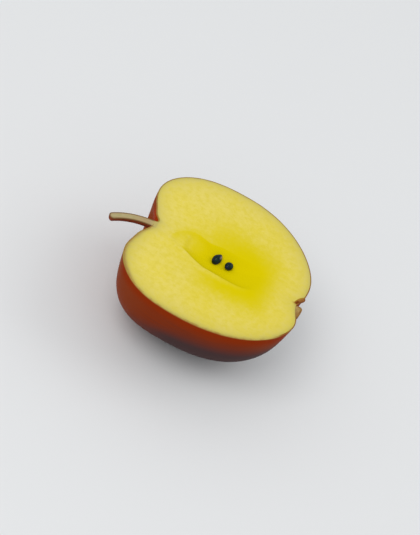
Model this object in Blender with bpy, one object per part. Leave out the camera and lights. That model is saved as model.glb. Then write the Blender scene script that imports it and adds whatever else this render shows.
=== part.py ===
"""An artificial apple half: moulded body, half stem, calyx and two bead pips, for Blender 4.5.

Metres, +Z up. A whole apple is shaped round its core, which runs along X with the stem at -X and
the calyx at +X, and is then cut level through the core. The cut face looks up. The half rests on
a small flat spot under its skin, and the origin lies in that spot, below the centre of mass.
"""

import math
from typing import NamedTuple

import bmesh
import bpy
import numpy as np
from mathutils import Matrix, Vector

MM = 0.001
GAP = 0.3 * MM  # kept between two pieces that meet


class Lobe(NamedTuple):
    """The side view of one lobe.

    It swells to its radius at its belly. The turns and fills say how fast it rounds over towards
    each end: less than 1 is squarer than an ellipse. The shoulder is the end of that round before
    the stem's cavity sinks into it. The pocket is a deeper ring in the cavity, at its own distance
    out and of its own width, and a negative one swells there. The calyx's basin is broad, and its
    eye takes up the rest of the depth there.
    """

    radius: float
    belly: float
    shoulder: float
    cavity_width: float
    pocket: float
    pocket_out: float
    pocket_width: float
    stem_turn: float
    stem_fill: float
    basin_depth: float
    basin_width: float
    calyx_turn: float
    calyx_fill: float


# The apple. Distances along the core are counted from half way between its two poles.
NEAR = Lobe(
    radius=36.0 * MM,
    belly=-7.0 * MM,
    shoulder=-38.8 * MM,
    cavity_width=13.2 * MM,
    pocket=-1.0 * MM,
    pocket_out=6.9 * MM,
    pocket_width=3.9 * MM,
    stem_turn=0.74,
    stem_fill=0.83,
    basin_depth=4.3 * MM,
    basin_width=7.4 * MM,
    calyx_turn=1.00,
    calyx_fill=0.85,
)
FAR = Lobe(
    radius=38.7 * MM,
    belly=-2.7 * MM,
    shoulder=-38.8 * MM,
    cavity_width=14.6 * MM,
    pocket=1.3 * MM,
    pocket_out=2.8 * MM,
    pocket_width=1.6 * MM,
    stem_turn=0.79,
    stem_fill=0.76,
    basin_depth=3.0 * MM,
    basin_width=10.5 * MM,
    calyx_turn=1.00,
    calyx_fill=1.00,
)
UNDER = Lobe(
    radius=36.3 * MM,
    belly=-8.0 * MM,
    shoulder=-40.2 * MM,
    cavity_width=22.5 * MM,
    pocket=0.4 * MM,
    pocket_out=2.8 * MM,
    pocket_width=1.5 * MM,
    stem_turn=0.70,
    stem_fill=0.92,
    basin_depth=4.3 * MM,
    basin_width=15.0 * MM,
    calyx_turn=0.70,
    calyx_fill=0.86,
)
FAR_ROUNDING = 2.0  # how late the far lobe gives way to the underside
STEM_POLE = -30.15 * MM

# The stem's cavity opens wider low on its far side: how deep, where round the core, and how far out.
OPENING_DEPTH = 1.9 * MM
OPENING_TURN = 2.2
OPENING_SPAN = 0.4
OPENING_OUT = 11.0 * MM
OPENING_WIDTH = 6.0 * MM

CALYX_END = 35.4 * MM
CALYX_DEPTH = 4.3 * MM
EYE_WIDTH = 3.2 * MM
RINGS = 34
MERIDIANS = 52

# The cut is level with the core, and the foot is a shallow slice off the lowest skin.
FLAT_SPOT = 0.4 * MM
CUT_HEIGHT = UNDER.radius - FLAT_SPOT

# The hollow of the core, pressed into the cut face.
HOLLOW_MIDDLE = -2.0 * MM
HOLLOW_HALF_LENGTH = 20.0 * MM
HOLLOW_NEAR = 7.7 * MM
HOLLOW_FAR = 7.0 * MM
HOLLOW_DEPTH = 3.2 * MM
HOLLOW_END = 0.3 * MM

# The stem, a round twig that bends towards the near lobe, halved by the cut.
STEM_ROOT = Vector((-27.0 * MM, 0.0, 0.0))
STEM_BEND = 26.0 * MM
STEM_HEADING = math.radians(181)
STEM_TURN = math.radians(46)
STEM_RADIUS = 1.5 * MM
STEM_DEPTH_SHARE = 1.6
STEM_FLARE = 0.2 * MM


class Sepal(NamedTuple):
    """A leaf of the calyx: its turn round the core from the near lobe, its foot, tip and half
    thickness. It is thin at its foot, and thickest at its blunt tip.
    """

    turn: float
    foot_along: float
    foot_out: float
    tip_along: float
    tip_out: float
    half_thickness: float


SEPALS = {
    "calyx_near": Sepal(6, 32.7 * MM, 5.8 * MM, 31.9 * MM, 0.5 * MM, 1.5 * MM),
    "calyx_under": Sepal(88, 30.9 * MM, 5.6 * MM, 33.2 * MM, 3.4 * MM, 0.8 * MM),
    "calyx_far": Sepal(172, 30.2 * MM, 0.6 * MM, 33.3 * MM, 4.1 * MM, 0.75 * MM),
}
SEPAL_HALF_WIDTH = 1.6 * MM
SEPAL_FOOT_SHARE = 0.3


class Pip(NamedTuple):
    """A bead shaped like a pip: its place in the hollow, its size, and where its tip points."""

    along: float
    across: float
    length: float
    width: float
    heading: float
    rise: float


PIPS = {
    "pip_stem_side": Pip(-3.1 * MM, 2.0 * MM, 4.9 * MM, 3.4 * MM, 70, 25),
    "pip_calyx_side": Pip(1.95 * MM, 1.8 * MM, 3.8 * MM, 3.2 * MM, 245, 5),
}
PIP_SINK = 0.6 * MM
PIP_TAPER = 0.35

# The centre of mass, as counted from the middle of the core. It comes over the origin.
CENTRE_ALONG = -2.25 * MM
CENTRE_ACROSS = 0.75 * MM
CORE = Matrix.Translation((-CENTRE_ALONG, -CENTRE_ACROSS, CUT_HEIGHT))


def clear_scene():
    for thing in list(bpy.data.objects):
        bpy.data.objects.remove(thing)


def finish(name, colour, roughness):
    material = bpy.data.materials.new(name)
    material.use_nodes = True
    shader = material.node_tree.nodes["Principled BSDF"]
    shader.inputs["Base Color"].default_value = (*colour, 1.0)
    shader.inputs["Roughness"].default_value = roughness
    shader.inputs["Metallic"].default_value = 0.0
    return material


def add_piece(name, bm, material=None):
    """Put the finished shape in the scene, on the core, smooth except at its sharp rims."""
    bmesh.ops.recalc_face_normals(bm, faces=bm.faces)
    mesh = bpy.data.meshes.new(name)
    bm.to_mesh(mesh)
    bm.free()
    mesh.shade_smooth()
    mesh.set_sharp_from_angle(angle=math.radians(40))
    if material:
        mesh.materials.append(material)
    piece = bpy.data.objects.new(name, mesh)
    piece.matrix_world = CORE
    bpy.context.collection.objects.link(piece)
    return piece


def cut(piece, name, bm):
    """Take the shape in bm away from the piece."""
    cutter = add_piece(name, bm)
    cutter.hide_render = True
    cutter.display_type = "WIRE"
    boolean = piece.modifiers.new(name, "BOOLEAN")
    boolean.operation = "DIFFERENCE"
    boolean.solver = "EXACT"
    boolean.object = cutter


def slice_off(bm, height, up):
    """Slice the shape level, drop what lies above the slice, or below it, and close the cut."""
    bmesh.ops.bisect_plane(
        bm,
        geom=bm.verts[:] + bm.edges[:] + bm.faces[:],
        dist=1e-7,
        plane_co=(0, 0, height),
        plane_no=(0, 0, 1 if up else -1),
        clear_outer=True,
    )
    rim = [edge for edge in bm.edges if edge.is_boundary]
    bmesh.ops.holes_fill(bm, edges=rim, sides=0)


def station(middle, ahead, side, wide, thick):
    """Stands a unit circle across the way ahead, wide along its side."""
    ahead = ahead.normalized()
    side = (side - ahead * side.dot(ahead)).normalized()
    columns = Matrix((side * wide, ahead.cross(side) * thick, ahead)).transposed()
    return Matrix.Translation(middle) @ columns.to_4x4()


def loft(stations, segments):
    """A closed solid through a row of unit circles, each placed and sized by its station."""
    bm = bmesh.new()
    last = set()
    for matrix in stations:
        circle = bmesh.ops.create_circle(bm, segments=segments, radius=1.0, matrix=matrix)
        rim = {edge for vert in circle["verts"] for edge in vert.link_edges}
        if last:
            bmesh.ops.bridge_loops(bm, edges=list(last | rim))
        last = rim
    ends = [edge for edge in bm.edges if edge.is_boundary]
    bmesh.ops.holes_fill(bm, edges=ends, sides=0)
    return bm


def hump(across):
    return np.exp(-(across**2))


def lobe_outline(lobe):
    """Places along the core and out from it, evenly spaced from the calyx to the stem."""
    angle = np.linspace(0, math.pi, 1500)
    swing = np.cos(angle)
    at_calyx = swing >= 0
    reach = np.where(at_calyx, CALYX_END - lobe.belly, lobe.belly - lobe.shoulder)
    turn = np.where(at_calyx, lobe.calyx_turn, lobe.stem_turn)
    fill = np.where(at_calyx, lobe.calyx_fill, lobe.stem_fill)
    out = lobe.radius * np.sin(angle).clip(0) ** fill
    basin = -lobe.basin_depth * hump(out / lobe.basin_width)
    basin -= (CALYX_DEPTH - lobe.basin_depth) * hump(out / EYE_WIDTH)
    cavity = (STEM_POLE - lobe.shoulder) * hump(out / lobe.cavity_width)
    cavity += lobe.pocket * hump((out - lobe.pocket_out) / lobe.pocket_width)
    along = lobe.belly + np.sign(swing) * reach * np.abs(swing) ** turn
    along += np.where(at_calyx, basin, cavity)
    length = np.concatenate([[0], np.cumsum(np.hypot(np.diff(along), np.diff(out)))])
    marks = np.linspace(0, length[-1], RINGS + 1)
    return np.column_stack([np.interp(marks, length, along), np.interp(marks, length, out)])


def apple_half():
    """A round ball drawn out to the lobes' outlines, then sliced at the core and at the foot."""
    near, far, under = (lobe_outline(lobe) for lobe in (NEAR, FAR, UNDER))
    bm = bmesh.new()
    poles_along_core = Matrix.Rotation(math.radians(90), 4, "Y")
    bmesh.ops.create_uvsphere(
        bm, u_segments=MERIDIANS, v_segments=RINGS, radius=1.0, matrix=poles_along_core
    )
    for vert in bm.verts:
        x, y, z = vert.co.normalized()
        ring = round(math.acos(max(-1.0, min(1.0, x))) / math.pi * RINGS)
        turn = math.atan2(-z, -y)
        side, rounding = (near, 1.0) if y < 0 else (far, FAR_ROUNDING)
        under_share = abs(math.sin(turn)) ** rounding
        along, out = under_share * under[ring] + (1 - under_share) * side[ring]
        if along < 0:
            low = hump((turn - OPENING_TURN) / OPENING_SPAN)
            along += OPENING_DEPTH * low * hump((out - OPENING_OUT) / OPENING_WIDTH)
        vert.co = (along, -out * math.cos(turn), -out * math.sin(turn))
    slice_off(bm, 0.0, up=True)
    slice_off(bm, -CUT_HEIGHT, up=False)
    return bm


def hollow():
    """The core's dish: round across, blunt at its ends, and straighter on its near side."""
    stations = []
    steps = 22
    for step in range(steps + 1):
        u = -math.cos(math.pi * step / steps)
        near = HOLLOW_NEAR * (1 - abs(u) ** (2 if u < 0 else 4)) + HOLLOW_END
        far = HOLLOW_FAR * (1 - abs(u) ** 6) + HOLLOW_END
        half_width = (near + far) / 2
        depth = HOLLOW_DEPTH * 2 * half_width / (HOLLOW_NEAR + HOLLOW_FAR)
        radius = (half_width**2 + depth**2) / (2 * depth)
        along = HOLLOW_MIDDLE + u * HOLLOW_HALF_LENGTH
        middle = Vector((along, (far - near) / 2, radius - depth))
        stations.append(station(middle, Vector((1, 0, 0)), Vector((0, 1, 0)), radius, radius))
    return loft(stations, 40)


def hollow_floor(across):
    """How deep the hollow is under the pips, which lie near its middle."""
    return HOLLOW_DEPTH * (1 - (2 * across / (HOLLOW_NEAR + HOLLOW_FAR)) ** 2)


def stem(grow=0.0):
    """The twig along its bend: flared where it leaves the flesh, and rounded off at its tip."""
    stations = []
    steps = 18
    across = Vector((-math.sin(STEM_HEADING), math.cos(STEM_HEADING), 0))
    centre = STEM_ROOT + across * STEM_BEND
    for step in range(steps + 1):
        share = 1 - (1 - step / steps) ** 1.5
        heading = STEM_HEADING + STEM_TURN * share
        ahead = Vector((math.cos(heading), math.sin(heading), 0))
        across = Vector((-ahead.y, ahead.x, 0))
        to_tip = STEM_TURN * (1 - share) * STEM_BEND / STEM_RADIUS
        rounding = math.sqrt(max(1 - max(1 - to_tip, 0) ** 2, 0.05))
        radius = (STEM_RADIUS + STEM_FLARE * (1 - share) ** 4) * rounding + grow
        middle = centre - across * STEM_BEND + ahead * grow * (2 * share - 1)
        stations.append(station(middle, ahead, across, radius, radius * STEM_DEPTH_SHARE))
    bm = loft(stations, 14)
    if not grow:
        slice_off(bm, 0.0, up=True)
    return bm


def sepal(leaf, grow=0.0):
    """A short leaf that thickens from the wall of the basin to its tip."""
    turn = math.radians(leaf.turn)
    outwards = Vector((0, -math.cos(turn), -math.sin(turn)))
    side = Vector((0, math.sin(turn), -math.cos(turn)))
    foot = Vector((leaf.foot_along, 0, 0)) + outwards * leaf.foot_out
    tip = Vector((leaf.tip_along, 0, 0)) + outwards * leaf.tip_out
    ahead = (tip - foot).normalized()
    stations = []
    steps = 6
    for step in range(steps + 1):
        share = step / steps
        blunt = math.sqrt(1.05 - share**8)
        swell = SEPAL_FOOT_SHARE + (1 - SEPAL_FOOT_SHARE) * share
        middle = foot.lerp(tip, share) + ahead * grow * (2 * share - 1)
        wide = SEPAL_HALF_WIDTH * blunt + grow
        thick = leaf.half_thickness * swell * blunt + grow
        stations.append(station(middle, ahead, side, wide, thick))
    bm = loft(stations, 12)
    if not grow:
        slice_off(bm, 0.0, up=True)
    return bm


def pip(bead, grow=0.0):
    """A drop-shaped bead that lies on the hollow's floor, a little sunk in it."""
    heading = math.radians(bead.heading)
    level = Vector((math.cos(heading), math.sin(heading), 0))
    ahead = level * math.cos(math.radians(bead.rise))
    ahead.z = math.sin(math.radians(bead.rise))
    height = bead.width / 2 - PIP_SINK - hollow_floor(bead.across)
    middle = Vector((bead.along, bead.across, height))
    side = Vector((-level.y, level.x, 0))
    bm = bmesh.new()
    bmesh.ops.create_uvsphere(bm, u_segments=16, v_segments=12, radius=1.0)
    for vert in bm.verts:
        slim = 1 - PIP_TAPER * max(vert.co.z, 0) ** 1.5
        vert.co.x *= (bead.width / 2) * slim + grow
        vert.co.y *= (bead.width / 2) * slim + grow
        vert.co.z *= bead.length / 2 + grow
    bmesh.ops.transform(bm, matrix=station(middle, ahead, side, 1.0, 1.0), verts=bm.verts)
    return bm


def build():
    flesh = finish("flesh", (0.76, 0.63, 0.10), 0.55)
    bark = finish("bark", (0.38, 0.29, 0.14), 0.6)
    leaf_brown = finish("sepal", (0.20, 0.09, 0.04), 0.6)
    bead_black = finish("bead", (0.01, 0.014, 0.03), 0.2)

    body = add_piece("apple_body", apple_half(), flesh)
    cut(body, "hollow_cutter", hollow())

    add_piece("stem", stem(), bark)
    cut(body, "stem_socket_cutter", stem(grow=GAP))

    for name, leaf in SEPALS.items():
        add_piece(name, sepal(leaf), leaf_brown)
        cut(body, name + "_seat_cutter", sepal(leaf, grow=GAP))

    for name, bead in PIPS.items():
        add_piece(name, pip(bead), bead_black)
        cut(body, name + "_seat_cutter", pip(bead, grow=GAP))


clear_scene()
build()
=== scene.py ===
"""The looks of an artificial apple half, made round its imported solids, for Blender 4.5.

Metres, +Z up. The half lies on its skin with the cut face level and up. Its core runs along X,
with the stem at -X and the calyx at +X, and the near lobe is at -Y. Shapes are worked out from the
middle of the core, in the plane of the cut, and are then put in place.
"""

import math
from typing import NamedTuple

import bmesh
import bpy
import numpy as np
from mathutils import Matrix, Vector
from mathutils.bvhtree import BVHTree


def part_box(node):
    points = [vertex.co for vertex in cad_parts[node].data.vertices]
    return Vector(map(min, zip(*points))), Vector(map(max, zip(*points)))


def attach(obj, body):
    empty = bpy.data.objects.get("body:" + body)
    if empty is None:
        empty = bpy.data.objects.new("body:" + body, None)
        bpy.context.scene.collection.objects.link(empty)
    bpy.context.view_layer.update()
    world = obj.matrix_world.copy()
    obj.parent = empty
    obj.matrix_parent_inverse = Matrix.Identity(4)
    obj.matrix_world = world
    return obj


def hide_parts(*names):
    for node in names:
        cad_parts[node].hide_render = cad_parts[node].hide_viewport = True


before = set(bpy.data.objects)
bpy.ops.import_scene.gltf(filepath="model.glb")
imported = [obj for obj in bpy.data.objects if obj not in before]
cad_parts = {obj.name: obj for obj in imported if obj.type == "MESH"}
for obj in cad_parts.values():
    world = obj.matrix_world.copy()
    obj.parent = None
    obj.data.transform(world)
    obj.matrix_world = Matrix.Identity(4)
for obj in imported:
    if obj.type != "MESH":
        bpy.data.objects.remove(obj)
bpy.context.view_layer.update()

MM = 0.001
CORE = Vector((2.25 * MM, -0.75 * MM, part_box("apple_body")[1].z))


class Lobe(NamedTuple):
    """The side view of one lobe: how far it swells, where, and how fast it rounds over.

    A pocket deepens the stem's cavity at one distance out, and a negative one swells it there.
    """

    radius: float
    belly: float
    shoulder: float
    cavity_width: float
    pocket: float
    pocket_out: float
    pocket_width: float
    stem_turn: float
    stem_fill: float
    basin_depth: float
    basin_width: float
    calyx_turn: float
    calyx_fill: float


NEAR = Lobe(
    radius=36.0 * MM,
    belly=-7.0 * MM,
    shoulder=-38.8 * MM,
    cavity_width=13.2 * MM,
    pocket=-1.0 * MM,
    pocket_out=6.9 * MM,
    pocket_width=3.9 * MM,
    stem_turn=0.74,
    stem_fill=0.83,
    basin_depth=4.3 * MM,
    basin_width=7.4 * MM,
    calyx_turn=1.00,
    calyx_fill=0.85,
)
FAR = Lobe(
    radius=38.7 * MM,
    belly=-2.7 * MM,
    shoulder=-38.8 * MM,
    cavity_width=14.6 * MM,
    pocket=1.3 * MM,
    pocket_out=2.8 * MM,
    pocket_width=1.6 * MM,
    stem_turn=0.79,
    stem_fill=0.76,
    basin_depth=3.0 * MM,
    basin_width=10.5 * MM,
    calyx_turn=1.00,
    calyx_fill=1.00,
)
UNDER = Lobe(
    radius=36.3 * MM,
    belly=-8.0 * MM,
    shoulder=-40.2 * MM,
    cavity_width=22.5 * MM,
    pocket=0.4 * MM,
    pocket_out=2.8 * MM,
    pocket_width=1.5 * MM,
    stem_turn=0.70,
    stem_fill=0.92,
    basin_depth=4.3 * MM,
    basin_width=15.0 * MM,
    calyx_turn=0.70,
    calyx_fill=0.86,
)
FAR_ROUNDING = 2.0  # how late the far side gives way to the underside
CAVITY_OPENING = 1.9 * MM  # how much deeper the stem's cavity is, low on the far side
CAVITY_OPENING_OUT = 11.0 * MM
CAVITY_OPENING_WIDTH = 6.0 * MM
CAVITY_OPENING_START = (math.pi / 2, 1.9)  # its turns round the core, from the near lobe
CAVITY_OPENING_END = (2.9, 2.3)
STEM_POLE = -30.15 * MM
CALYX_END = 35.4 * MM
CALYX_DEPTH = 4.3 * MM
EYE_WIDTH = 3.2 * MM
LOBE_STEPS = 4000
LINE_STEPS = 900

WELD = 1e-6  # vertices this close are one vertex
IN_THE_CUT = 1e-5  # vertices this close to the cut lie in it
SHARP_ANGLE = math.radians(50)

# The skin: a thin coat over the flesh, with a rounded lip round the cut.
SKIN_RINGS = 200
SKIN_MERIDIANS = 130
SKIN_THICKNESS = 0.4 * MM
LIP_RADIUS = 0.15 * MM
LIP_SEGMENTS = 3
UNDERSIDE_SHADE_MIDDLE = (3.0, -36.0)  # the darkest middle of the painted shade under the apple, along the core and below the cut, in mm

# The flesh: spokes from the middle of the hollow, and rings that follow the hollow's rim.
SPOKES = 560
HOLLOW_RINGS = 44
FACE_RINGS = 76
UNDER_RINGS = 24
FLESH_OVERLAP = 0.02 * MM
FACE_EDGE_DROP = 0.04 * MM
FACE_EDGE_WIDTH = 0.4 * MM

# The hollow pressed into the flesh, with a shallow tail at its stem end.
HOLLOW_MIDDLE = -2.0 * MM
HOLLOW_HALF_LENGTH = 20.35 * MM
HOLLOW_DEPTH = 3.2 * MM
HOLLOW_WIDTH = 14.8 * MM
HOLLOW_LEAST_WIDTH = 0.02 * MM
SOFT_RIM = 0.55 * MM
CRISP_RIM = 0.13 * MM
HOLLOW_LIP = 0.12 * MM
TAIL_SHARE = 0.2
TAIL_END = (-17.6 * MM, -14.4 * MM)

# The airbrush: its middle on the core, and how far the spray carries, in mm.
SPRAY_MIDDLE = (10.3, -3.8)
SPRAY_CALYX_REACH = 11.0
SPRAY_STEM_REACH = 18.0
SPRAY_FAR_REACH = 21.6
SPRAY_NEAR_REACH = 11.7

# How strong each layer of paint is on the cut face, from 0 to 1.
DRIFT_STRENGTH = 0.8
LEE_STRENGTH = 0.42
TAIL_STRENGTH = 0.48
DEEP_STRENGTH = 0.5
ARCH_STRENGTH = 0.6
CREASE_STRENGTH = 0.25
EDGE_STRENGTH = 0.9
CALYX_STAIN_STRENGTH = 0.7

# The stem, a round twig that bends towards the near lobe, halved by the cut.
STEM_ROOT = Vector((-27.0 * MM, 0.0, 0.0))
STEM_BEND = 26.0 * MM
STEM_HEADING = math.radians(181)
STEM_TURN = math.radians(46)
STEM_RADIUS = 1.5 * MM
STEM_FLARE = 0.2 * MM
STEM_DEPTH_SHARE = 1.8
STEM_STEPS = 90
STEM_CROWDING = 1.6  # draws the steps together at the rounded tip
STEM_SEGMENTS = 56
STEM_LEAST_END = 0.01  # keeps the last ring of the tip open
STEM_FACE_SINK = 0.05 * MM  # inside the flesh
STEM_FACE_LIFT = 0.07 * MM  # clear of the flesh


class Sepal(NamedTuple):
    """A leaf of the calyx: its turn round the core from the near lobe, its foot and its tip.

    It bows sideways between them, and its half thickness goes from its foot to its tip.
    """

    turn: float
    foot_along: float
    foot_out: float
    tip_along: float
    tip_out: float
    bow: float
    foot_thickness: float
    tip_thickness: float


SEPALS = {
    "calyx_near": Sepal(
        turn=6,
        foot_along=32.8 * MM,
        foot_out=6.4 * MM,
        tip_along=32.0 * MM,
        tip_out=0.30 * MM,
        bow=0.1 * MM,
        foot_thickness=0.3 * MM,
        tip_thickness=1.6 * MM,
    ),
    "calyx_under": Sepal(
        turn=88,
        foot_along=30.9 * MM,
        foot_out=5.6 * MM,
        tip_along=33.2 * MM,
        tip_out=3.4 * MM,
        bow=0.0,
        foot_thickness=0.4 * MM,
        tip_thickness=0.7 * MM,
    ),
    "calyx_far": Sepal(
        turn=178,
        foot_along=30.0 * MM,
        foot_out=0.2 * MM,
        tip_along=32.85 * MM,
        tip_out=4.8 * MM,
        bow=-0.35 * MM,
        foot_thickness=0.5 * MM,
        tip_thickness=0.95 * MM,
    ),
}
SEPAL_HALF_WIDTH = 1.6 * MM
SEPAL_RISE = 0.06 * MM
SEPAL_STEPS = 40
SEPAL_SEGMENTS = 40


class Pip(NamedTuple):
    """A bead shaped like a pip: its place in the hollow, its size, and where its tip points."""

    along: float
    across: float
    length: float
    width: float
    heading: float
    rise: float


PIPS = {
    "pip_stem_side": Pip(
        along=-3.1 * MM, across=2.0 * MM, length=4.9 * MM, width=3.4 * MM, heading=70, rise=25
    ),
    "pip_calyx_side": Pip(
        along=1.95 * MM, across=1.8 * MM, length=3.8 * MM, width=3.2 * MM, heading=245, rise=5
    ),
}
PIP_SEGMENTS = 40
PIP_RINGS = 28
PIP_SINK = 0.6 * MM
PIP_TAPER = 0.35
PIP_TAPER_POWER = 1.5
PIP_FLOOR = 2.95 * MM
PIP_HIGHLIGHT_RISE = 20  # only the steeper pip gets the painted highlight on its top


def smooth(low, high, value):
    """Goes from 0 at low to 1 at high without corners."""
    share = np.clip((value - low) / (high - low), 0, 1)
    return share * share * (3 - 2 * share)


def hump(middle, width, value):
    """Is 1 in the middle, and dies away on both sides of it."""
    return np.exp(-(((value - middle) / width) ** 2))


# ------------------------------------------------------------------------------- shapes


def lobe_outline(lobe, count):
    """Places along the core and out from it, evenly spaced from the calyx to the stem."""
    angle = np.linspace(0, math.pi, LOBE_STEPS)
    swing = np.cos(angle)
    at_calyx = swing >= 0
    reach = np.where(at_calyx, CALYX_END - lobe.belly, lobe.belly - lobe.shoulder)
    turn = np.where(at_calyx, lobe.calyx_turn, lobe.stem_turn)
    fill = np.where(at_calyx, lobe.calyx_fill, lobe.stem_fill)
    out = lobe.radius * np.sin(angle).clip(0) ** fill
    basin = -lobe.basin_depth * hump(0, lobe.basin_width, out)
    basin -= (CALYX_DEPTH - lobe.basin_depth) * hump(0, EYE_WIDTH, out)
    cavity = (STEM_POLE - lobe.shoulder) * hump(0, lobe.cavity_width, out)
    cavity += lobe.pocket * hump(lobe.pocket_out, lobe.pocket_width, out)
    along = lobe.belly + np.sign(swing) * reach * np.abs(swing) ** turn
    along += np.where(at_calyx, basin, cavity)
    length = np.concatenate([[0], np.cumsum(np.hypot(np.diff(along), np.diff(out)))])
    marks = np.linspace(0, length[-1], count + 1)
    return np.column_stack([np.interp(marks, length, along), np.interp(marks, length, out)])


def cut_outline(inset):
    """The edge of the cut face as one closed line, drawn in by inset."""
    near, far = lobe_outline(NEAR, LINE_STEPS), lobe_outline(FAR, LINE_STEPS)
    line = np.concatenate([near * (1, -1), far[::-1][1:-1]])
    ahead = np.roll(line, -1, axis=0) - np.roll(line, 1, axis=0)
    ahead /= np.linalg.norm(ahead, axis=1)[:, None]
    return line + inset * np.column_stack([ahead[:, 1], -ahead[:, 0]])


def curve_in(x, rise, start, end, power):
    """How far a rim has curved in at x: not at all up to start, and by its rise at end."""
    return rise * ((x - start) / (end - start)).clip(0) ** power


def near_rim(x):
    """The hollow's crisp near edge, as a distance across the core."""
    x = x / MM
    calyx_side = curve_in(x, rise=12.6, start=-6.15, end=18.4, power=6.6)
    stem_side = curve_in(x, rise=6.8, start=-6.15, end=-22.3, power=1.31)
    return (-7.4 + calyx_side + stem_side) * MM


def far_rim(x):
    """The hollow's far edge: level, with a dent, and then an arch over its stem end."""
    x = x / MM
    calyx_side = curve_in(x, rise=2.2, start=-2.0, end=18.4, power=8)
    stem_side = curve_in(x, rise=7.4, start=-2.0, end=-22.4, power=6)
    return (7.4 - stem_side - calyx_side - 1.1 * hump(-8.0, 3.5, x)) * MM


def hollow_outline():
    """The rim of the hollow as one closed line."""
    x = HOLLOW_MIDDLE - HOLLOW_HALF_LENGTH * np.cos(np.linspace(0, math.pi, LINE_STEPS))
    near = np.column_stack([x, near_rim(x)])
    far = np.column_stack([x, far_rim(x)])
    return np.concatenate([near, far[::-1]])


def reach_by_angle(line, angle):
    """How far a closed line lies from the middle of the hollow, in each direction."""
    dx, dy = line[:, 0] - HOLLOW_MIDDLE, line[:, 1]
    around = np.arctan2(dy, dx)
    order = np.argsort(around)
    return np.interp(angle, around[order], np.hypot(dx, dy)[order], period=math.tau)


def unit_grid(columns, rows):
    """A flat grid from 0, 0 to 1, 1, ready to be wrapped round a shape."""
    bm = bmesh.new()
    bmesh.ops.create_grid(
        bm,
        x_segments=columns,
        y_segments=rows,
        size=0.5,
        matrix=Matrix.Translation((0.5, 0.5, 0.0)),
    )
    return bm


def station(middle, ahead, side, wide, thick):
    """Stands a unit circle across the way ahead, wide along its side."""
    ahead = ahead.normalized()
    side = (side - ahead * side.dot(ahead)).normalized()
    columns = Matrix((side * wide, ahead.cross(side) * thick, ahead)).transposed()
    return Matrix.Translation(middle) @ columns.to_4x4()


def loft(stations, segments):
    """A closed solid through a row of unit circles, each placed and sized by its station."""
    bm = bmesh.new()
    last = set()
    for matrix in stations:
        circle = bmesh.ops.create_circle(bm, segments=segments, radius=1.0, matrix=matrix)
        rim = {edge for vert in circle["verts"] for edge in vert.link_edges}
        if last:
            bmesh.ops.bridge_loops(bm, edges=list(last | rim))
        last = rim
    ends = [edge for edge in bm.edges if edge.is_boundary]
    bmesh.ops.holes_fill(bm, edges=ends, sides=0)
    return bm


def finish_mesh(name, bm, material, node):
    """Turn the finished shape into a piece in the row frame that stands for its CAD node."""
    bmesh.ops.recalc_face_normals(bm, faces=bm.faces)
    bmesh.ops.translate(bm, vec=CORE, verts=bm.verts)
    mesh = bpy.data.meshes.new(name)
    bm.to_mesh(mesh)
    bm.free()
    mesh.shade_smooth()
    mesh.set_sharp_from_angle(angle=SHARP_ANGLE)
    mesh.materials.append(material)
    piece = bpy.data.objects.new(name, mesh)
    bpy.context.collection.objects.link(piece)
    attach(piece, "root")
    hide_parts(node)
    return piece


def places(mesh):
    """Every vertex, as counted from the middle of the core."""
    co = np.empty(len(mesh.vertices) * 3, dtype=np.float32)
    mesh.vertices.foreach_get("co", co)
    return co.reshape(-1, 3).astype(float) - np.array(CORE)


def paint(mesh, name, values):
    """Keep one number for each vertex, for a material to read."""
    layer = mesh.attributes.new(name, "FLOAT", "POINT")
    layer.data.foreach_set("value", np.asarray(values, dtype=np.float32))


# --------------------------------------------------------------------------------- skin


def skin(material):
    """The round of the apple below the cut, as a thin closed coat with a rounded lip."""
    near, far, under = (lobe_outline(lobe, SKIN_RINGS) for lobe in (NEAR, FAR, UNDER))
    bm = unit_grid(SKIN_MERIDIANS, SKIN_RINGS)
    turns = bm.verts.layers.float.new("turn")
    rings = bm.verts.layers.float.new("ring")
    for vert in bm.verts:
        turn = math.pi * vert.co.x
        ring = round(vert.co.y * SKIN_RINGS)
        side, rounding = (near, 1.0) if turn < math.pi / 2 else (far, FAR_ROUNDING)
        under_share = abs(math.sin(turn)) ** rounding
        along, out = under_share * under[ring] + (1 - under_share) * side[ring]
        if turn > math.pi / 2 and along < 0:
            low = smooth(*CAVITY_OPENING_START, turn) * smooth(*CAVITY_OPENING_END, turn)
            along += CAVITY_OPENING * low * hump(CAVITY_OPENING_OUT, CAVITY_OPENING_WIDTH, out)
        if ring in (0, SKIN_RINGS):
            along, out = near[ring]
        vert.co = (along, -out * math.cos(turn), max(-out * math.sin(turn), -CORE.z))
        vert[turns] = turn
        vert[rings] = ring / SKIN_RINGS
    bmesh.ops.remove_doubles(bm, verts=bm.verts, dist=WELD)
    bmesh.ops.recalc_face_normals(bm, faces=bm.faces)
    lip = [edge for edge in bm.edges if edge.is_boundary]
    bmesh.ops.solidify(bm, geom=bm.faces[:], thickness=SKIN_THICKNESS)
    for vert in bm.verts:
        if vert.co.z > -0.25 * SKIN_THICKNESS:  # the coat's edge, made level again
            vert.co.z = 0.0
    bmesh.ops.bevel(
        bm,
        geom=lip,
        offset=LIP_RADIUS,
        segments=LIP_SEGMENTS,
        profile=0.5,
        affect="EDGES",
        material=-1,
    )
    piece = finish_mesh("apple_skin", bm, material, "apple_body")
    paint_skin(piece.data)
    return piece


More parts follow.
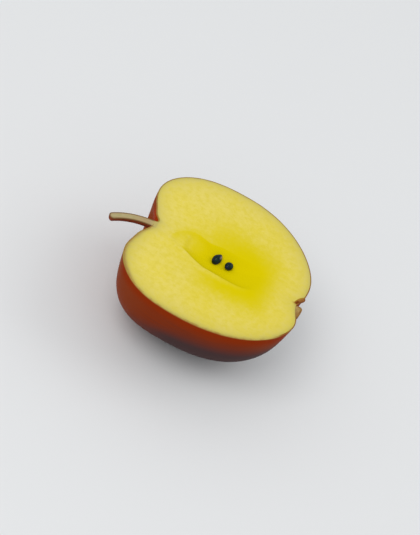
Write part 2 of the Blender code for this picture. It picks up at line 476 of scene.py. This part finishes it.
def paint_skin(mesh):
    """Where each colour lies on the skin. The places are in mm from the middle of the core."""
    x, y, z = places(mesh).T / MM
    out = np.hypot(y, z)
    from_underside = np.sqrt((x - UNDERSIDE_SHADE_MIDDLE[0]) ** 2 + y**2 + (z - UNDERSIDE_SHADE_MIDDLE[1]) ** 2)
    # Painted shade: the skin darkens towards the bottom, round a point under the apple, for the
    # shade of the ground beneath it.
    underside = smooth(47.0, 38.5, from_underside) * smooth(-30.0, -2.0, x)
    calyx_end = smooth(18.0, 30.0, x)
    # Painted sheen: a browner, olive patch at the stem end's near side, for the glint along the
    # skin's edge.
    stem_end_sheen = smooth(-31.0, -37.5, x) * smooth(-2.0, -16.0, y)
    # Painted light: the stem's cavity, and less so its shoulder, are painted lighter against the
    # shade that falls in them.
    cavity = smooth(-34.0, -31.5, x) * smooth(0.0, -5.0, x) * smooth(15.0, 7.0, out)
    face_paint = smooth(4.0, -12.0, y) * smooth(31.5, 28.5, x) * smooth(-32.0, -25.0, x)

    paint(mesh, "underside", underside)
    paint(mesh, "below", -z)
    paint(mesh, "ends", smooth(-12.0, -28.0, x) + calyx_end)
    paint(mesh, "calyx_end", calyx_end)
    paint(mesh, "stem_end_sheen", stem_end_sheen)
    paint(mesh, "cavity", cavity)
    paint(mesh, "shoulder", smooth(-31.0, -33.0, x) * smooth(24.0, 14.0, out))
    paint(mesh, "lip", smooth(-0.6, -0.3, z))
    paint(mesh, "face_paint", face_paint)


# -------------------------------------------------------------------------------- flesh


def hollow_relief(x, share, around):
    """The height of the cut face: level, with the hollow sunk in it and a low lip beside it."""
    width = np.clip(far_rim(x) - near_rim(x), HOLLOW_LEAST_WIDTH, None)
    deep = TAIL_SHARE + (1 - TAIL_SHARE) * smooth(*TAIL_END, x)
    depth = HOLLOW_DEPTH * deep * np.clip(width / HOLLOW_WIDTH, 0, 1) ** 0.6
    bowl = np.where(share > 1, HOLLOW_DEPTH, depth) * (share**2 - 1)
    near_side = smooth(0.15, -0.35, np.sin(around)) * smooth(-18.0 * MM, -15.8 * MM, x)
    near_side *= smooth(17.5 * MM, 12.5 * MM, x)
    stem_arch = smooth(0.75, 0.95, -np.cos(around)) * smooth(-0.06, 0.06, np.sin(around))
    crisp = np.clip(near_side + 0.9 * stem_arch, 0, 1)
    softness = SOFT_RIM + (CRISP_RIM - SOFT_RIM) * crisp
    height = -softness * np.logaddexp(0, -bowl / softness)
    lip = HOLLOW_LIP * near_side * hump(1.12, 0.12, share)
    return height + lip * (share > 1)


def flesh(material, skin_piece):
    """The flesh: a level face with the hollow pressed into it, down to the skin's inner wall."""
    ring_count = FACE_RINGS + HOLLOW_RINGS + UNDER_RINGS
    bm = unit_grid(SPOKES, ring_count)
    co = np.array([vert.co for vert in bm.verts], dtype=float)
    around = math.pi * (2 * co[:, 0] - 1)
    ring = np.rint(co[:, 1] * ring_count)

    rim = reach_by_angle(hollow_outline(), around)
    edge = reach_by_angle(cut_outline(SKIN_THICKNESS - FLESH_OVERLAP), around)
    inner = ring / HOLLOW_RINGS
    outer = np.clip((ring - HOLLOW_RINGS) / FACE_RINGS, 0, 1)
    spread = 0.55 * outer + 0.45 * smooth(0, 1, outer)
    reach = np.where(ring <= HOLLOW_RINGS, rim * inner, rim + (edge - rim) * spread)
    x = HOLLOW_MIDDLE + reach * np.cos(around)
    y = reach * np.sin(around)
    z = hollow_relief(x, reach / rim, around)
    z -= FACE_EDGE_DROP * smooth(FACE_EDGE_WIDTH, 0, edge - reach)

    wall = BVHTree.FromObject(skin_piece, bpy.context.evaluated_depsgraph_get())
    middle = CORE + Vector((HOLLOW_MIDDLE, 0, 0))
    under_start = HOLLOW_RINGS + FACE_RINGS
    for vert, number, angle, place in zip(bm.verts, ring, around, np.column_stack([x, y, z])):
        if number <= under_start:
            vert.co = place
            continue
        dip = (number - under_start) / UNDER_RINGS * math.pi / 2
        level = math.cos(dip)
        ahead = Vector((level * math.cos(angle), level * math.sin(angle), -math.sin(dip)))
        hit = wall.ray_cast(middle, ahead)[0]
        vert.co = hit + ahead * FLESH_OVERLAP - CORE
    bmesh.ops.remove_doubles(bm, verts=bm.verts, dist=WELD)
    piece = finish_mesh("apple_flesh", bm, material, "apple_body")
    paint_flesh(piece.data)
    return piece


def paint_flesh(mesh):
    """Where the sprayed yellow, the shade, the pale rim and the stains lie on the cut face.

    The places are in mm: x from the middle of the core, from_rim outwards from the hollow, and
    from_edge inwards from the skin.
    """
    x, y = places(mesh).T[:2]
    around = np.arctan2(y, x - HOLLOW_MIDDLE)
    reach = np.hypot(x - HOLLOW_MIDDLE, y)
    rim = reach_by_angle(hollow_outline(), around)
    edge = reach_by_angle(cut_outline(0), around)
    x, y = x / MM, y / MM
    from_rim = (reach - rim) / MM
    from_edge = (edge - reach).clip(0) / MM

    near_side = smooth(0.1, -0.2, np.sin(around))
    inside = smooth(0.12, -0.12, from_rim)

    # The spray is an uneven oval with a thin drift round it.
    past = x - SPRAY_MIDDLE[0]
    aside = y - SPRAY_MIDDLE[1]
    past /= np.where(past > 0, SPRAY_CALYX_REACH, SPRAY_STEM_REACH)
    aside /= np.where(aside > 0, SPRAY_FAR_REACH, SPRAY_NEAR_REACH)
    fullness = 4.0 - 0.9 * smooth(0, 0.6, aside)
    spread = (np.abs(past) ** fullness + np.abs(aside) ** fullness) ** (1 / fullness)
    spray = np.exp(-(spread ** (4.4 + 1.2 * aside.clip(0, 1))))
    drift = DRIFT_STRENGTH * hump(3.5, 21.5, x) * hump(0.3, 25.5, y)
    spray = 1 - (1 - spray) * (1 - drift)

    # It misses the lee of the near rim, fills the hollow, and marks the arch over the stem end.
    lee = smooth(-0.15, 0.15, from_rim) * smooth(3.6, 1.2, from_rim) * near_side
    spray *= 1 - LEE_STRENGTH * lee * smooth(13.0, -3.0, x)
    deeper = x + 0.2 * y + 2.5 * smooth(-1.0, -3.5, y) - 1.2 * smooth(-1.0, 4.0, y)
    tail = 1 - smooth(-15.8, -17.4, x) * smooth(0.8, -1.4, y)
    in_hollow = TAIL_STRENGTH * tail + DEEP_STRENGTH * smooth(-17.0, -8.0, deeper)
    in_hollow *= inside * smooth(17.0, 8.0, x)
    slope = 2.2 * ((-2.0 - x) / 20.4).clip(0, 1) ** 5
    from_arch = (y - far_rim(x * MM) / MM + 1.1) / np.hypot(1, slope)
    arch = hump(0, np.where(from_arch > 0, 2.2, 1.4), from_arch)
    arch *= smooth(-23.0, -20.5, x) * smooth(-9.0, -15.0, x)
    spray = 1 - (1 - spray) * (1 - in_hollow) * (1 - ARCH_STRENGTH * arch)

    # Shade gathers under the near rim, and the flesh pales or browns towards the skin.
    crease = near_side * inside * smooth(-3.5, -0.3, from_rim) * smooth(-17.5, -14, x)
    crease *= smooth(15.0, 4.0, x)
    depth = from_edge / (1 + 1.2 * smooth(-27.0, -35.0, x) * smooth(4.0, -8.0, y))
    rim_band = 0.6 * np.exp(-((depth / 1.1) ** 1.6)) + 0.4 * np.exp(-((depth / 5.0) ** 1.5))
    brown_edge = hump(0, 1.1, from_edge) * smooth(-23.0, -31.0, x) * smooth(0.0, -4.0, y)

    # Stains lie at both ends of the core.
    stem_stain = hump(-30.5, 2.2, x) * hump(-0.5, 2.4, y)
    band_middle = np.interp(y, (0.4, 0.9, 4.2, 5.6), (30.0, 30.6, 32.2, 32.9))
    calyx_stain = hump(0, 0.6, (x - band_middle).clip(None, 0))
    calyx_stain *= smooth(-0.4, 0.5, y) * smooth(6.2, 4.8, y)
    streak = hump(0.35, 0.25 + 0.25 * (x - 28.2).clip(0), y) * smooth(28.0, 30.0, x)
    calyx_stain = np.maximum(calyx_stain * (x > 28), streak)

    paint(mesh, "spray", spray)
    paint(mesh, "far_side", smooth(-8.0, 8.0, y))
    paint(mesh, "crease", CREASE_STRENGTH * crease)
    paint(mesh, "rim_band", rim_band)
    paint(mesh, "brown_edge", EDGE_STRENGTH * brown_edge)
    paint(mesh, "stem_stain", stem_stain)
    paint(mesh, "calyx_stain", CALYX_STAIN_STRENGTH * calyx_stain)


# --------------------------------------------------------------------------------- stem


def stem(material):
    """The twig along its bend, with its cut face level and its bark round and under it."""
    stations = []
    across = Vector((-math.sin(STEM_HEADING), math.cos(STEM_HEADING), 0))
    centre = STEM_ROOT + across * STEM_BEND
    for step in range(STEM_STEPS + 1):
        share = 1 - (1 - step / STEM_STEPS) ** STEM_CROWDING
        heading = STEM_HEADING + STEM_TURN * share
        ahead = Vector((math.cos(heading), math.sin(heading), 0))
        across = Vector((-ahead.y, ahead.x, 0))
        to_tip = STEM_TURN * (1 - share) * STEM_BEND / STEM_RADIUS
        rounding = math.sqrt(max(1 - max(1 - to_tip, 0) ** 2, STEM_LEAST_END))
        radius = (STEM_RADIUS + STEM_FLARE * (1 - share) ** 4) * rounding
        middle = centre - across * STEM_BEND
        stations.append(station(middle, ahead, across, radius, radius * STEM_DEPTH_SHARE))
    bm = loft(stations, STEM_SEGMENTS)
    for vert in bm.verts:
        vert.co.z = min(vert.co.z, 0.0)
    bmesh.ops.remove_doubles(bm, verts=bm.verts, dist=WELD)
    piece = finish_mesh("stem_twig", bm, material, "stem")
    paint_stem(piece.data, centre)
    return piece


def paint_stem(mesh, centre):
    """How far each spot lies along the bend, across it and from the bark, and the face's lift."""
    x, y, z = places(mesh).T
    heading = np.arctan2(y - centre.y, x - centre.x) + math.pi / 2
    share = ((heading - STEM_HEADING) % math.tau) / STEM_TURN
    share = np.where(share > 3, 0, share)  # just behind the root
    width = np.hypot(x - centre.x, y - centre.y) - STEM_BEND
    radius = STEM_RADIUS + STEM_FLARE * (1 - np.clip(share, 0, 1)) ** 4
    to_tip = STEM_TURN * (1 - share) * STEM_BEND
    past = np.clip(STEM_RADIUS - to_tip, 0, None)
    from_middle = np.hypot(width, past)
    paint(mesh, "from_bark", np.where(z < -IN_THE_CUT, z, radius - from_middle) / MM)
    paint(mesh, "along", STEM_TURN * share * STEM_BEND / MM)
    paint(mesh, "across", width / MM)
    lifts = STEM_FACE_LIFT * smooth(-27.6 * MM, -29.5 * MM, x) - STEM_FACE_SINK
    for vert, lift in zip(mesh.vertices, lifts):
        if vert.co.z > CORE.z - IN_THE_CUT:
            vert.co.z += lift


# -------------------------------------------------------------------------------- calyx


def leaf_thickness(leaf, share):
    """Half the leaf's thickness at a share of its length."""
    return leaf.foot_thickness + (leaf.tip_thickness - leaf.foot_thickness) * share**0.7


def sepal(name, leaf, material):
    """A short leaf that bows and thickens from the wall of the basin to its blunt tip."""
    turn = math.radians(leaf.turn)
    outwards = Vector((0, -math.cos(turn), -math.sin(turn)))
    side = Vector((0, math.sin(turn), -math.cos(turn)))
    foot = Vector((leaf.foot_along, 0, 0)) + outwards * leaf.foot_out
    tip = Vector((leaf.tip_along, 0, 0)) + outwards * leaf.tip_out
    chord = tip - foot
    sideways = (Vector((1, 0, 0)) - chord * chord.x / chord.length_squared).normalized()
    stations = []
    for step in range(SEPAL_STEPS + 1):
        share = step / SEPAL_STEPS
        ahead = chord + sideways * leaf.bow * 4 * (1 - 2 * share)
        middle = foot + chord * share + sideways * leaf.bow * 4 * share * (1 - share)
        blunt = math.sqrt(1.02 - share**10)  # whole until near the tip, and then quickly round
        thick = leaf_thickness(leaf, share)
        stations.append(station(middle, ahead, side, SEPAL_HALF_WIDTH * blunt, thick * blunt))
    bm = loft(stations, SEPAL_SEGMENTS)
    for vert in bm.verts:
        vert.co.z = min(vert.co.z, SEPAL_RISE)
    bmesh.ops.remove_doubles(bm, verts=bm.verts, dist=WELD)
    piece = finish_mesh(name + "_leaf", bm, material, name)
    place = places(piece.data)
    along = (place - np.array(foot)) @ np.array(chord) / chord.length_squared
    across = (place - np.array(foot)) @ np.array(sideways) - leaf.bow * 4 * along * (1 - along)
    thick = leaf_thickness(leaf, along.clip(0))
    from_edge = np.minimum(thick - np.abs(across), (1 - along) * chord.length)
    paint(piece.data, "along", along)
    paint(piece.data, "outside", across / thick)
    paint(piece.data, "from_edge", np.where(place[:, 2] < 0, 0, from_edge) / MM)
    return piece


# --------------------------------------------------------------------------------- pips


def pip(name, bead, material):
    """A drop-shaped bead that lies on the hollow's floor, a little sunk in it."""
    heading = math.radians(bead.heading)
    level = Vector((math.cos(heading), math.sin(heading), 0))
    ahead = level * math.cos(math.radians(bead.rise))
    ahead.z = math.sin(math.radians(bead.rise))
    middle = Vector((bead.along, bead.across, bead.width / 2 - PIP_SINK - PIP_FLOOR))
    side = Vector((-level.y, level.x, 0))
    bm = bmesh.new()
    bmesh.ops.create_uvsphere(bm, u_segments=PIP_SEGMENTS, v_segments=PIP_RINGS, radius=1.0)
    for vert in bm.verts:
        slim = 1 - PIP_TAPER * max(vert.co.z, 0) ** PIP_TAPER_POWER
        vert.co.x *= (bead.width / 2) * slim
        vert.co.y *= (bead.width / 2) * slim
        vert.co.z *= bead.length / 2
    bmesh.ops.transform(bm, matrix=station(middle, ahead, side, 1.0, 1.0), verts=bm.verts)
    piece = finish_mesh(name + "_bead", bm, material, name)
    x, y, z = ((places(piece.data) - np.array(middle)) / (bead.width / 2)).T
    # Painted highlight: a pale pinkish spot on the pip's upper side, for a lamp's glint.
    highlight_spot = hump(0.62, 0.2, x) * hump(0.25, 0.45, y) * smooth(0.1, 0.5, z)
    paint(piece.data, "painted_highlight", highlight_spot * (bead.rise > PIP_HIGHLIGHT_RISE))
    return piece


# ---------------------------------------------------------------------------- materials


class Finish:
    """A material's nodes, joined up one after another."""

    def __init__(self, name, roughness, specular):
        self.material = bpy.data.materials.new(name)
        self.material.use_nodes = True
        self.tree = self.material.node_tree
        self.shader = self.tree.nodes["Principled BSDF"]
        self.shader.inputs["Roughness"].default_value = roughness
        self.shader.inputs["Specular IOR Level"].default_value = specular
        self.place = self.tree.nodes.new("ShaderNodeTexCoord").outputs["Object"]

    def put(self, socket, value):
        """Join a node's output to a socket, or set the socket to a plain number or colour."""
        if isinstance(value, bpy.types.NodeSocket):
            self.tree.links.new(value, socket)
        elif isinstance(value, tuple) and len(value) == 3 and socket.type == "RGBA":
            socket.default_value = (*value, 1.0)
        else:
            socket.default_value = value

    def attribute(self, name):
        node = self.tree.nodes.new("ShaderNodeAttribute")
        node.attribute_name = name
        return node.outputs["Fac"]

    def maths(self, operation, a, b, clamp=False):
        node = self.tree.nodes.new("ShaderNodeMath")
        node.operation = operation
        node.use_clamp = clamp
        self.put(node.inputs[0], a)
        self.put(node.inputs[1], b)
        return node.outputs["Value"]

    def times(self, a, b):
        return self.maths("MULTIPLY", a, b)

    def ramp(self, value, low, high, start=0.0, end=1.0):
        """A smooth step of the value from start at low to end at high."""
        node = self.tree.nodes.new("ShaderNodeMapRange")
        node.interpolation_type = "SMOOTHSTEP"
        self.put(node.inputs["Value"], value)
        node.inputs["From Min"].default_value = low
        node.inputs["From Max"].default_value = high
        node.inputs["To Min"].default_value = start
        node.inputs["To Max"].default_value = end
        return node.outputs["Result"]

    def flat_vector(self, x, y):
        node = self.tree.nodes.new("ShaderNodeCombineXYZ")
        self.put(node.inputs["X"], x)
        self.put(node.inputs["Y"], y)
        return node.outputs["Vector"]

    def noise(self, scale, detail=2.0, roughness=0.5, vector=None):
        node = self.tree.nodes.new("ShaderNodeTexNoise")
        self.put(node.inputs["Vector"], self.place if vector is None else vector)
        node.inputs["Scale"].default_value = scale
        node.inputs["Detail"].default_value = detail
        node.inputs["Roughness"].default_value = roughness
        return node.outputs["Fac"]

    def mix(self, amount, first, second):
        node = self.tree.nodes.new("ShaderNodeMix")
        node.data_type = "RGBA"
        node.clamp_factor = True
        self.put(node.inputs["Factor"], amount)
        colours = [socket for socket in node.inputs if socket.type == "RGBA"]
        self.put(colours[0], first)
        self.put(colours[1], second)
        return [socket for socket in node.outputs if socket.type == "RGBA"][0]

    def bump(self, height, depth, strength):
        node = self.tree.nodes.new("ShaderNodeBump")
        node.inputs["Strength"].default_value = strength
        node.inputs["Distance"].default_value = depth
        self.put(node.inputs["Height"], height)
        return node.outputs["Normal"]

    def colour(self, value):
        self.put(self.shader.inputs["Base Color"], value)

    def normal(self, value):
        self.put(self.shader.inputs["Normal"], value)


FLESH = (0.765, 0.630, 0.127)
FLESH_WARM = (0.785, 0.643, 0.107)
FLESH_PALE = (0.795, 0.655, 0.147)
FLESH_DARK = (0.735, 0.603, 0.093)
SPRAY = (0.695, 0.557, 0.0)
SHADE = (0.42, 0.36, 0.0)
RIM_FAR = (0.48, 0.415, 0.13)
RIM_NEAR = (0.49, 0.42, 0.10)
EDGE_BROWN = (0.33, 0.17, 0.06)
STAIN = (0.50, 0.41, 0.13)
OCHRE = (0.38, 0.21, 0.015)

SKIN_RED = (0.230, 0.032, 0.007)
SKIN_LIT_RED = (0.26, 0.028, 0.003)
SKIN_DARK = (0.17, 0.030, 0.012)
SKIN_UNDER_SHADE = (0.066, 0.035, 0.035)
SKIN_ENDS = (0.235, 0.041, 0.011)
SKIN_SHEEN_BROWN = (0.26, 0.11, 0.035)
CAVITY_LIT_RED = (0.37, 0.038, 0.001)
SHOULDER_LIT_RED = (0.25, 0.038, 0.001)
LIP_FLESH = (0.52, 0.42, 0.10)
LIP_OLIVE = (0.36, 0.25, 0.055)
LIP_BROWN = (0.29, 0.15, 0.03)

WOOD = (0.46, 0.37, 0.20)
WOOD_GREEN = (0.38, 0.33, 0.14)
BARK = (0.25, 0.052, 0.018)
BARK_DARK = (0.17, 0.036, 0.013)
BARK_EDGE = (0.19, 0.12, 0.045)
BARK_TINT = (0.40, 0.235, 0.12)

LEAF_TAN = (0.43, 0.27, 0.095)
LEAF_OLIVE = (0.34, 0.23, 0.075)
LEAF_UMBER = (0.29, 0.15, 0.04)
LEAF_BROWN = (0.19, 0.09, 0.03)
LEAF_RUST = (0.37, 0.18, 0.04)
LEAF_RED = (0.24, 0.08, 0.018)
LEAF_TIP = (0.19, 0.045, 0.012)
LEAF_JUNCTION = (0.17, 0.038, 0.002)

PIP_BLACK = (0.001, 0.006, 0.006)
PIP_GREEN = (0.004, 0.028, 0.018)
PIP_BLUE = (0.005, 0.014, 0.038)
PIP_HIGHLIGHT = (0.30, 0.20, 0.16)


def flesh_finish():
    finish = Finish("moulded_flesh", roughness=0.6, specular=0.01)
    patches = finish.noise(90.0, detail=3.0)
    mottle = finish.noise(420.0, detail=4.0, roughness=0.65)
    grain = finish.noise(900.0, detail=3.0)
    spray = finish.attribute("spray")
    colour = finish.mix(finish.ramp(patches, 0.35, 0.65), FLESH, FLESH_WARM)
    colour = finish.mix(finish.ramp(mottle, 0.5, 0.62), colour, FLESH_PALE)
    colour = finish.mix(finish.ramp(mottle, 0.5, 0.38), colour, FLESH_DARK)
    thin = finish.times(spray, finish.maths("SUBTRACT", 1.0, spray))
    uneven = finish.maths(
        "ADD", finish.ramp(grain, 0.2, 0.8, -0.35, 0.35), finish.ramp(patches, 0.3, 0.7, -0.5, 0.5)
    )
    spray = finish.maths("ADD", spray, finish.times(thin, uneven), clamp=True)
    colour = finish.mix(spray, colour, SPRAY)
    rim = finish.mix(finish.attribute("far_side"), RIM_NEAR, RIM_FAR)
    stipple = finish.ramp(mottle, 0.35, 0.65, 0.8, 1.15)
    colour = finish.mix(finish.times(finish.attribute("rim_band"), stipple), colour, rim)
    colour = finish.mix(finish.attribute("brown_edge"), colour, EDGE_BROWN)
    colour = finish.mix(finish.attribute("crease"), colour, SHADE)
    colour = finish.mix(finish.attribute("stem_stain"), colour, STAIN)
    colour = finish.mix(finish.attribute("calyx_stain"), colour, OCHRE)
    finish.colour(colour)
    finish.normal(finish.bump(finish.noise(1400.0, detail=4.0), 0.03 * MM, 0.5))
    return finish.material


def skin_finish():
    finish = Finish("satin_skin", roughness=0.4, specular=0.006)
    lanes = finish.flat_vector(
        finish.times(finish.attribute("turn"), 14.0), finish.times(finish.attribute("ring"), 2.5)
    )
    streaks = finish.noise(2.2, detail=5.0, roughness=0.6, vector=lanes)
    patches = finish.noise(60.0, detail=3.0)
    colour = finish.mix(finish.ramp(streaks, 0.35, 0.7, 0.0, 0.5), SKIN_RED, SKIN_DARK)
    colour = finish.mix(finish.ramp(patches, 0.4, 0.7, 0.0, 0.5), colour, SKIN_DARK)
    colour = finish.mix(finish.attribute("ends"), colour, SKIN_ENDS)
    # painted light: a lighter, warmer red just below the cut, where the skin faces the sky
    colour = finish.mix(finish.ramp(finish.attribute("below"), 6.0, 1.5), colour, SKIN_LIT_RED)
    # painted sheen at the stem end's near side
    colour = finish.mix(finish.attribute("stem_end_sheen"), colour, SKIN_SHEEN_BROWN)
    # painted shade under the apple, darkest towards the bottom
    colour = finish.mix(finish.attribute("underside"), colour, SKIN_UNDER_SHADE)
    # painted light in the stem's cavity and on its shoulder
    colour = finish.mix(finish.attribute("shoulder"), colour, SHOULDER_LIT_RED)
    colour = finish.mix(finish.attribute("cavity"), colour, CAVITY_LIT_RED)
    lip_colour = finish.mix(finish.attribute("calyx_end"), LIP_OLIVE, LIP_BROWN)
    lip_colour = finish.mix(finish.attribute("face_paint"), lip_colour, LIP_FLESH)
    olive = finish.ramp(finish.noise(350.0, detail=2.0), 0.3, 0.7, 0.6, 1.0)
    colour = finish.mix(finish.times(finish.attribute("lip"), olive), colour, lip_colour)
    finish.colour(colour)
    finish.normal(finish.bump(finish.noise(500.0, detail=3.0), 0.03 * MM, 0.4))
    return finish.material


def bark_finish():
    finish = Finish("stem_bark", roughness=0.55, specular=0.04)
    from_bark = finish.attribute("from_bark")
    along = finish.attribute("along")
    across = finish.attribute("across")
    strands = finish.flat_vector(finish.times(along, 0.5), finish.times(across, 5.0))
    fibre = finish.noise(1.0, detail=4.0, vector=strands)
    wood = finish.mix(finish.ramp(fibre, 0.35, 0.65), WOOD, WOOD_GREEN)
    wood = finish.mix(finish.ramp(along, 13.0, 7.0, 0.0, 0.4), wood, BARK_TINT)
    wood = finish.mix(finish.ramp(from_bark, 1.0, 0.4, 0.0, 0.6), wood, BARK_TINT)
    wood = finish.mix(finish.ramp(along, 5.0, 2.2), wood, STAIN)
    bark = finish.mix(finish.ramp(fibre, 0.3, 0.7), BARK, BARK_DARK)
    edge = finish.times(finish.ramp(from_bark, 0.52, 0.34), finish.ramp(along, 2.2, 4.0))
    colour = finish.mix(edge, wood, BARK_EDGE)
    colour = finish.mix(finish.ramp(from_bark, 0.02, -0.25), colour, bark)
    finish.colour(colour)
    finish.normal(finish.bump(fibre, 0.05 * MM, 0.5))
    return finish.material


def tan_leaf_finish():
    """The near leaf: a pale cut face inside a brown edge."""
    finish = Finish("cut_sepal", roughness=0.6, specular=0.04)
    mottle = finish.noise(900.0, detail=3.0)
    face = finish.mix(finish.ramp(mottle, 0.38, 0.62), LEAF_TAN, LEAF_OLIVE)
    brown = finish.mix(finish.ramp(mottle, 0.3, 0.7), LEAF_BROWN, LEAF_UMBER)
    face = finish.mix(finish.ramp(finish.attribute("along"), 0.7, 0.3, 0.0, 0.8), face, LEAF_UMBER)
    rim = finish.ramp(finish.attribute("from_edge"), 1.0, 0.5)
    outer = finish.times(rim, finish.ramp(finish.attribute("outside"), -0.7, 0.2))
    finish.colour(finish.mix(outer, face, brown))
    finish.normal(finish.bump(mottle, 0.1 * MM, 0.5))
    return finish.material


def red_leaf_finish():
    """The other leaves: rusty brown, ochre at the foot and darkest at the bend and the tip."""
    finish = Finish("rusty_sepal", roughness=0.6, specular=0.04)
    mottle = finish.noise(900.0, detail=3.0)
    along = finish.attribute("along")
    outside = finish.attribute("outside")
    rust = finish.mix(finish.ramp(mottle, 0.3, 0.7), LEAF_RUST, LEAF_RED)
    colour = finish.mix(finish.ramp(outside, -0.1, -0.9), rust, OCHRE)
    colour = finish.mix(finish.ramp(outside, 0.2, 0.9), colour, LEAF_RED)
    bend = finish.times(finish.ramp(along, 0.0, 0.1), finish.ramp(along, 0.5, 0.3))
    bend = finish.times(bend, finish.ramp(outside, -0.7, 0.1))
    colour = finish.mix(bend, colour, LEAF_JUNCTION)
    tip = finish.times(finish.ramp(along, 0.78, 0.95), finish.ramp(outside, -0.6, 0.1))
    colour = finish.mix(tip, colour, LEAF_TIP)
    finish.colour(colour)
    finish.normal(finish.bump(mottle, 0.1 * MM, 0.5))
    return finish.material


def bead_finish():
    finish = Finish("glossy_bead", roughness=0.25, specular=0.16)
    mottle = finish.noise(700.0, detail=2.0)
    colour = finish.mix(finish.ramp(mottle, 0.45, 0.6), PIP_BLACK, PIP_BLUE)
    colour = finish.mix(finish.ramp(mottle, 0.5, 0.38), colour, PIP_GREEN)
    # painted highlight on the steeper pip
    finish.colour(finish.mix(finish.attribute("painted_highlight"), colour, PIP_HIGHLIGHT))
    finish.normal(finish.bump(mottle, 0.03 * MM, 0.3))
    return finish.material


# -------------------------------------------------------------------------------- stage


FLOOR_GREY = (0.768, 0.765, 0.76)
FLOOR_REACH = 4.0
ROOM_LIGHT = (0.94, 0.97, 1.0, 1.0)
ROOM_STRENGTH = 0.75


class Lamp(NamedTuple):
    """A square lamp that points at the middle of the floor. Its power is in watts."""

    place: tuple
    size: float
    power: float


LAMPS = {
    "key": Lamp(place=(-0.5, -0.7, 1.3), size=0.9, power=7.0),
    "fill": Lamp(place=(0.9, 0.4, 1.0), size=0.8, power=2.5),
}

CAMERA_AZIMUTH = math.radians(-1.4675)
CAMERA_ELEVATION = math.radians(43.5)
CAMERA_LEAN = math.radians(30.75)
CAMERA_BACK = 816.05 * MM
CAMERA_LEFT = 5.40 * MM
CAMERA_DOWN = 1.47 * MM
CAMERA_SENSOR = 36.0
CAMERA_LENS = 148.04
CAMERA_NEAREST = 0.01


def stage():
    """A pale floor and soft light from above."""
    floor_finish = Finish("pale_floor", roughness=0.9, specular=0.1)
    floor_finish.colour(FLOOR_GREY)
    bm = bmesh.new()
    bmesh.ops.create_grid(bm, x_segments=1, y_segments=1, size=FLOOR_REACH)
    mesh = bpy.data.meshes.new("floor")
    bm.to_mesh(mesh)
    bm.free()
    mesh.materials.append(floor_finish.material)
    floor = bpy.data.objects.new("floor", mesh)
    bpy.context.collection.objects.link(floor)

    world = bpy.data.worlds.new("soft_room")
    bpy.context.scene.world = world
    world.use_nodes = True
    background = world.node_tree.nodes["Background"]
    background.inputs["Color"].default_value = ROOM_LIGHT
    background.inputs["Strength"].default_value = ROOM_STRENGTH

    for name, lamp in LAMPS.items():
        source = bpy.data.lights.new(name, "AREA")
        source.energy = lamp.power
        source.size = lamp.size
        light = bpy.data.objects.new(name, source)
        light.location = lamp.place
        light.rotation_euler = (-Vector(lamp.place)).to_track_quat("-Z", "Y").to_euler()
        bpy.context.collection.objects.link(light)

    bpy.context.scene.view_settings.view_transform = "Standard"


def camera():
    """Looks down at the cut face from the near side, leaning so that the stem is up and left."""
    reach = math.cos(CAMERA_ELEVATION)
    back = Vector(
        (
            math.sin(CAMERA_AZIMUTH) * reach,
            -math.cos(CAMERA_AZIMUTH) * reach,
            math.sin(CAMERA_ELEVATION),
        )
    )
    level = Vector((math.cos(CAMERA_AZIMUTH), math.sin(CAMERA_AZIMUTH), 0))
    rise = back.cross(level)
    right = level * math.cos(CAMERA_LEAN) + rise * math.sin(CAMERA_LEAN)
    up = rise * math.cos(CAMERA_LEAN) - level * math.sin(CAMERA_LEAN)
    lens = bpy.data.cameras.new("camera")
    lens.sensor_width = CAMERA_SENSOR
    lens.lens = CAMERA_LENS
    lens.clip_start = CAMERA_NEAREST
    view = bpy.data.objects.new("camera", lens)
    place = CORE - right * CAMERA_LEFT - up * CAMERA_DOWN + back * CAMERA_BACK
    view.matrix_world = Matrix.Translation(place) @ Matrix((right, up, back)).transposed().to_4x4()
    bpy.context.collection.objects.link(view)
    bpy.context.scene.camera = view


def main():
    skin_piece = skin(skin_finish())
    flesh(flesh_finish(), skin_piece)
    stem(bark_finish())
    tan, rusty = tan_leaf_finish(), red_leaf_finish()
    for name, leaf in SEPALS.items():
        sepal(name, leaf, tan if name == "calyx_near" else rusty)
    black = bead_finish()
    for name, bead in PIPS.items():
        pip(name, bead, black)
    stage()
    camera()


main()
